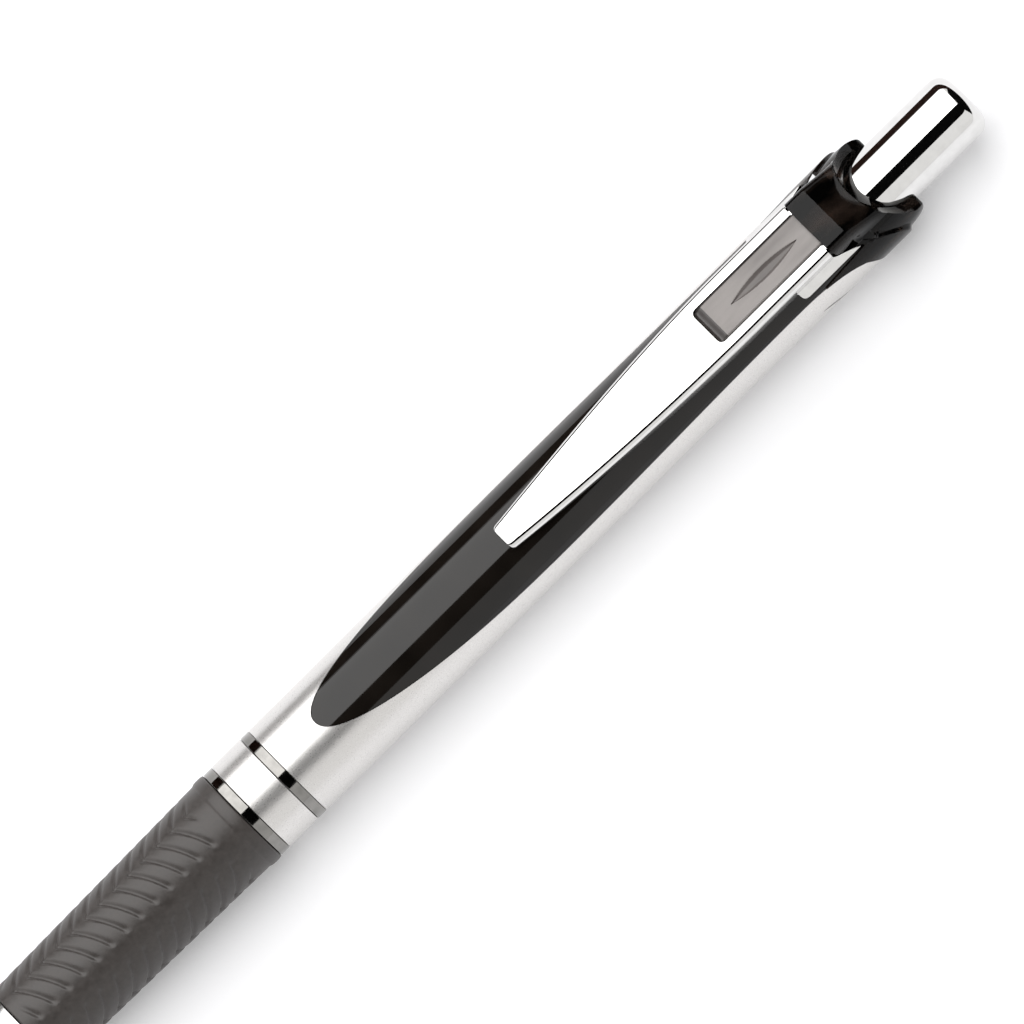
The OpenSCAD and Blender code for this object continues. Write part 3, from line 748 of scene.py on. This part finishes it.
def clip_insert():
    """Smoky insert: a soft-edged block with a bevelled front end and a lens-shaped groove; the front end
    and the side rims are painted dark as shade, and the groove is painted darker as shade.
    """
    gap = 0.05 * MM
    x0, x1, half = X_WINDOW + gap, X_CROWN + 0.03 * MM, WINDOW_HALF - gap
    corner, bevel_l, shade_rim = 0.55 * MM, 1.35 * MM, 0.13 * MM
    rows, cols = 180, 84
    middle = lerp(x0, x1, 0.57)
    lens_half_l, lens_half_w = 4.45 * MM, 0.62 * MM
    top = CLIP_TOP - 0.06 * MM

    def in_lens(x, y):
        """Distance from the groove's middle line as a share of its half-width there."""
        u = (x - middle) / lens_half_l
        return abs(y) / max(lens_half_w * (1 - u * u), 1e-6) if abs(u) < 1 else 9.0

    def height(x, y):
        edge = min(half - abs(y), x - x0)
        h = top - 0.16 * MM * (1 - smooth(edge / (0.30 * MM)))
        front = (x - x0) / bevel_l
        if front < 1:
            h -= 0.34 * MM * (1 - smooth(front * 1.15 - 0.1))
        v = in_lens(x, y)
        if v < 1.2:
            h -= 0.2 * MM * (1 - smooth((v - 0.3) / 0.9))
        return h

    outer, inner = [], []
    for i in range(rows + 1):
        x = lerp(x0, x1, i / rows)
        reach = half
        if x - x0 < corner:
            reach -= corner - math.sqrt(max(corner ** 2 - (corner - x + x0) ** 2, 0.0))
        sides = [lerp(-reach, reach, j / cols) for j in range(cols + 1)]
        outer.append([across(x, y, height(x, y)) for y in sides])
        inner.append([across(x, y, BARREL_R + 0.32 * MM) for y in sides])
    obj = skin("clip_insert_block", outer, inner, SMOKE_GREY, 40)
    obj.data.materials.append(SMOKE_GROOVE_PAINTED_SHADE)
    obj.data.materials.append(SMOKE_EDGE_PAINTED_SHADE)
    # Painted shade: the front bevel and a thin rim along the sides take the darkest tone, and the groove
    # takes a darker one.
    for face in obj.data.polygons:
        x, y = face.center.x, face.center.y
        if x - x0 < bevel_l * 0.8 or half - abs(y) < shade_rim:
            face.material_index = 2
        # Painted shade in the groove: its faces take the darker groove tone.
        elif in_lens(x, y) < 1.0:
            face.material_index = 1
    return obj


def shell_slit(side):
    """Dark crescent slit let into the shell beside the crown."""
    rows, cols = 40, 6
    x0, x1, a0, a1 = X_SHELL_END - 8.6 * MM, X_SHELL_END - 4.7 * MM, 85.0, 106.0

    def line(r):
        grid = []
        for i in range(rows + 1):
            t = i / rows
            half = 1.6 * math.sin(math.pi * min(max(t, 0.01), 0.99)) ** 0.8
            middle = lerp(a0, a1, t ** 1.35)
            grid.append([
                at(lerp(x0, x1, t), r, side * (middle + half * (2 * j / cols - 1)))
                for j in range(cols + 1)
            ])
        return grid

    name = "shell_slit_near" if side > 0 else "shell_slit_far"
    return skin(name, line(BARREL_R + 0.006 * MM), line(BARREL_R - 0.1 * MM), BLACK_GLOSS, 40)


def button_cap():
    """Chrome button: a straight wall, a large soft edge and a barely domed end."""
    soft = 1.6 * MM
    dome = 0.15 * MM
    arc = 14
    profile = [(X_CAP + 0.05 * MM, CAP_R - 0.5 * MM), (X_CAP, CAP_R - 0.42 * MM),
               (X_CAP, CAP_R - 0.08 * MM), (X_CAP + 0.08 * MM, CAP_R)]
    profile += [(lerp(X_CAP, X_END - soft - dome, k / 6), CAP_R) for k in range(1, 6)]
    for k in range(arc + 1):
        a = math.radians(90 * k / arc)
        profile.append((X_END - dome - soft + soft * math.sin(a), CAP_R - soft + soft * math.cos(a)))
    flat_r = CAP_R - soft
    profile += [(X_END - dome * (1 - t) ** 2 - 1e-6, flat_r * (1 - t)) for t in (0.25, 0.5, 0.75)]
    profile += [(X_END - 1e-6, 0.0), (X_END - 2.4 * MM, 0.0), (X_END - 2.4 * MM, CAP_R - 0.5 * MM)]
    return revolve("button_cap_skin", profile, CHROME, 200, 50)


# ---------------------------------------------------------------- the pen

def place(obj, body, slot, *nodes):
    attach(obj, body)
    if nodes:
        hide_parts(*nodes)


seam = 0.03 * MM
place(nose_cone(), "nose", "satin_metal", "nose_cone")
place(grip(), "barrel", "grip_rubber", "grip")
place(
    ring("lower_ring_skin", X_RING_1 + seam, X_BAND - seam, DARK_CHROME, BARREL_R - 0.01 * MM, 0.08 * MM),
    "barrel", "dark_chrome", "lower_ring",
)
place(
    ring("label_band_skin", X_BAND + seam, X_RING_2 - seam, SILVER, BARREL_R, 0.07 * MM),
    "barrel", "satin_silver", "label_band",
)
place(
    ring("upper_ring_skin", X_RING_2 + seam, X_SHELL - seam, DARK_CHROME, BARREL_R - 0.01 * MM, 0.08 * MM),
    "barrel", "dark_chrome", "upper_ring",
)
place(barrel_shell(), "barrel", "satin_silver", "barrel_shell")
place(shell_slit(1), "barrel", "black_gloss", "barrel_shell")
place(shell_slit(-1), "barrel", "black_gloss", "barrel_shell")
black_panel, inner_barrel = barrel_core()
place(black_panel, "barrel", "black_gloss", "barrel_core")
place(inner_barrel, "barrel", "black_gloss", "barrel_core")
place(crown(), "barrel", "smoke_plastic", "crown")
place(clip(), "clip", "mirror_chrome", "clip")
place(clip_tab(1), "clip", "mirror_chrome", "clip")
place(clip_tab(-1), "clip", "mirror_chrome", "clip")
place(clip_tongue(), "clip", "mirror_chrome", "clip")
place(clip_insert(), "clip", "smoke_insert", "clip_insert")
place(button_cap(), "button", "mirror_chrome", "button_cap")

CARRIED = {
    "front_barrel": BLACK_PLASTIC, "plunger": WHITE_PLASTIC, "cam_guide": WHITE_PLASTIC,
    "rotor": WHITE_PLASTIC, "return_spring": STEEL, "refill_tube": TUBE, "ink_column": INK,
    "grease_follower": GREASE, "tail_plug": BLACK_PLASTIC, "tip_holder": BLACK_PLASTIC,
    "tip_socket": SATIN_METAL, "ball": STEEL, "ball_spring": STEEL,
}
for node, material in CARRIED.items():
    shown = frame["nodes"][node]
    shown.data.materials.clear()
    shown.data.materials.append(material)


# ---------------------------------------------------------------- stage, light and camera

def towards(angle):
    """Unit direction square to the pen; the angle runs from straight up towards -Y."""
    a = math.radians(angle)
    return Vector((0, -math.sin(a), math.cos(a)))


def seen_rays(tree):
    """One on the rays that show a surface: straight, in a reflection or through clear plastic."""
    path = tree.nodes.new("ShaderNodeLightPath")
    value = path.outputs["Is Camera Ray"]
    for name in ("Is Glossy Ray", "Is Transmission Ray"):
        either = tree.nodes.new("ShaderNodeMath")
        either.operation = "MAXIMUM"
        tree.links.new(value, either.inputs[0])
        tree.links.new(path.outputs[name], either.inputs[1])
        value = either.outputs[0]
    return value


FLOOR_LIFT = 0.26


def floor():
    size = 3.0
    mesh = bpy.data.meshes.new("floor")
    mesh.from_pydata(
        [(-size, -size, -1e-5), (size, -size, -1e-5), (size, size, -1e-5), (-size, size, -1e-5)],
        [], [(0, 1, 2, 3)],
    )
    mat, tree, shader = new_material("floor_white")
    shader.inputs["Base Color"].default_value = (0.80, 0.80, 0.815, 1)
    shader.inputs["Roughness"].default_value = 0.9
    shader.inputs["Specular IOR Level"].default_value = 0.0
    lift = tree.nodes.new("ShaderNodeMath")
    lift.operation = "MULTIPLY"
    lift.inputs[1].default_value = FLOOR_LIFT
    tree.links.new(seen_rays(tree), lift.inputs[0])
    shader.inputs["Emission Color"].default_value = (1, 1, 1, 1)
    tree.links.new(lift.outputs[0], shader.inputs["Emission Strength"])
    mesh.materials.append(mat)
    obj = bpy.data.objects.new("floor", mesh)
    bpy.context.scene.collection.objects.link(obj)


def card(name, corners, shade):
    """Unlit card round the pen, seen only in its reflections."""
    mat, tree, shader = new_material(name)
    shader.inputs["Base Color"].default_value = (*shade, 1)
    shader.inputs["Roughness"].default_value = 1.0
    shader.inputs["Specular IOR Level"].default_value = 0.0
    mesh = bpy.data.meshes.new(name)
    mesh.from_pydata([tuple(c) for c in corners], [], [(0, 1, 2, 3)])
    mesh.materials.append(mat)
    obj = bpy.data.objects.new(name, mesh)
    bpy.context.scene.collection.objects.link(obj)
    obj.visible_camera = False
    obj.visible_shadow = False
    obj.visible_diffuse = False


def long_card(name, angle, half_angle, shade):
    """Card along the pen, square to a direction, 0.45 m away."""
    distance, length = 0.45, 1.6
    out, side = towards(angle), towards(angle + 90)
    half = distance * math.tan(math.radians(half_angle))
    centre = Vector((0, 0, AXIS_Z)) + out * distance
    along = Vector((length / 2, 0, 0))
    card(name, [
        centre - along - side * half, centre + along - side * half,
        centre + along + side * half, centre - along + side * half,
    ], shade)


def end_card(name, x, half_y, top, shade):
    """Upright card across the end of the pen."""
    card(name, [(x, -half_y, 0.002), (x, half_y, 0.002), (x, half_y, top), (x, -half_y, top)], shade)


def soft_box(name, angle, distance, width, length, power):
    data = bpy.data.lights.new(name, "AREA")
    data.shape = "RECTANGLE"
    data.size, data.size_y = length, width
    data.energy = power
    obj = bpy.data.objects.new(name, data)
    bpy.context.scene.collection.objects.link(obj)
    out = towards(angle)
    obj.location = Vector((0, 0, AXIS_Z)) + out * distance
    obj.rotation_mode = "QUATERNION"
    z = out
    x = Vector((1, 0, 0))
    y = z.cross(x)
    obj.rotation_quaternion = Matrix((x, y, z)).transposed().to_quaternion()


def world(level):
    data = bpy.data.worlds.new("studio")
    bpy.context.scene.world = data
    data.use_nodes = True
    back = data.node_tree.nodes["Background"]
    back.inputs["Color"].default_value = (1.0, 0.995, 0.985, 1)
    amount = data.node_tree.nodes.new("ShaderNodeMapRange")
    amount.inputs["To Min"].default_value = level
    amount.inputs["To Max"].default_value = 1.0
    data.node_tree.links.new(seen_rays(data.node_tree), amount.inputs["Value"])
    data.node_tree.links.new(amount.outputs["Result"], back.inputs["Strength"])


def camera():
    """Looks square onto the pen, 16 degrees off the clip, with the pen across the picture."""
    roll, tilt = 16.0, math.radians(44.8)
    back = towards(roll)
    u = Vector((0, math.cos(math.radians(roll)), math.sin(math.radians(roll))))
    x = Vector((1, 0, 0))
    right = x * math.cos(tilt) - u * math.sin(tilt)
    up = x * math.sin(tilt) + u * math.cos(tilt)
    data = bpy.data.cameras.new("camera")
    data.lens, data.sensor_width = 600, 36
    data.clip_start, data.clip_end = 0.01, 20
    obj = bpy.data.objects.new("camera", data)
    bpy.context.scene.collection.objects.link(obj)
    view_width = 99.4 * MM
    distance = view_width / 2 / math.tan(math.atan(data.sensor_width / 2 / data.lens))
    target = Vector((11.45 * MM, 2.36 * MM, 6.23 * MM))
    obj.location = target + back * distance
    obj.rotation_mode = "QUATERNION"
    obj.rotation_quaternion = Matrix((right, up, back)).transposed().to_quaternion()
    bpy.context.scene.camera = obj


floor()
long_card("dark_card_near", 29, 17, (0.004, 0.004, 0.004))
long_card("dark_card_far", -79, 14, (0.030, 0.016, 0.013))
end_card("dark_card_end", 0.74, 0.6, 0.9, (0.004, 0.004, 0.004))
soft_box("key_box", -25, 0.9, 1.36, 1.36, 12.3)
world(0.42)
camera()
bpy.context.scene.view_settings.view_transform = "Standard"
